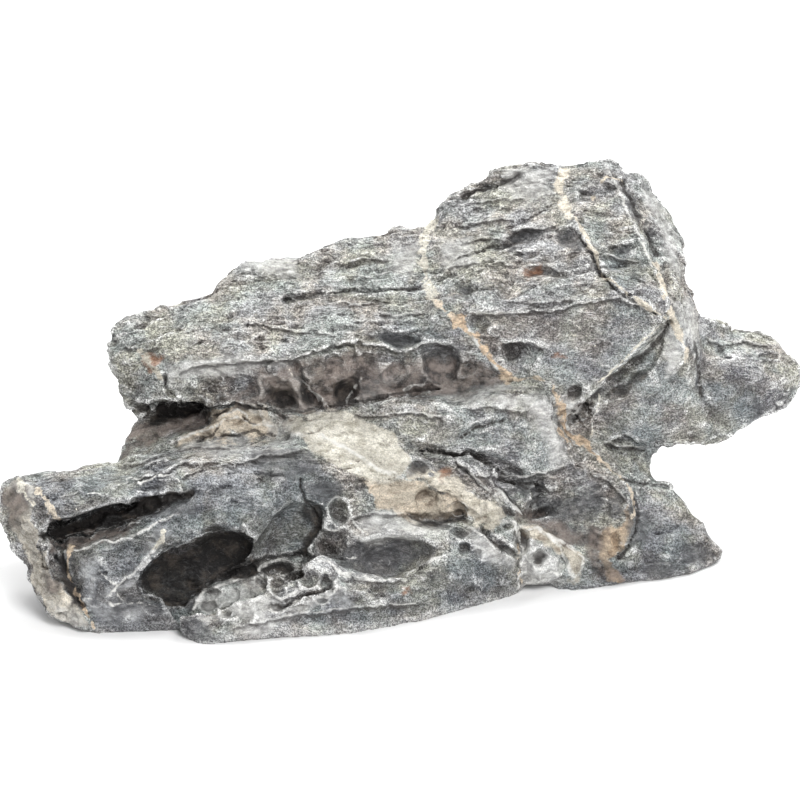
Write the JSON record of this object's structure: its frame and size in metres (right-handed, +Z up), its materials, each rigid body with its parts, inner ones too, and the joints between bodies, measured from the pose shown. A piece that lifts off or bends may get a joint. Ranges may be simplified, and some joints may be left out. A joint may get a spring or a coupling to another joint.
{
  "type": "seiryu stone",
  "caption": "Weathered grey limestone lump of tilted, cracked beds with an overhanging slab, a slot, a cave and a blunt arm.",
  "frame": {"origin": "under the middle of the stone's box, on the surface it rests on", "axes": "+Z up, +X to the right along the stone's length toward the blunt arm, -Y toward the side with the slot and the cave"},
  "size_m": [0.3222, 0.191, 0.1417],
  "materials": {
    "limestone": "dry and matt, rough; mid grey with a green cast on top, purple-grey in the hollows, crossed by cream and tan calcite veins"
  },
  "bodies": {
    "root": {"stone": "limestone"}
  },
  "joints": []
}
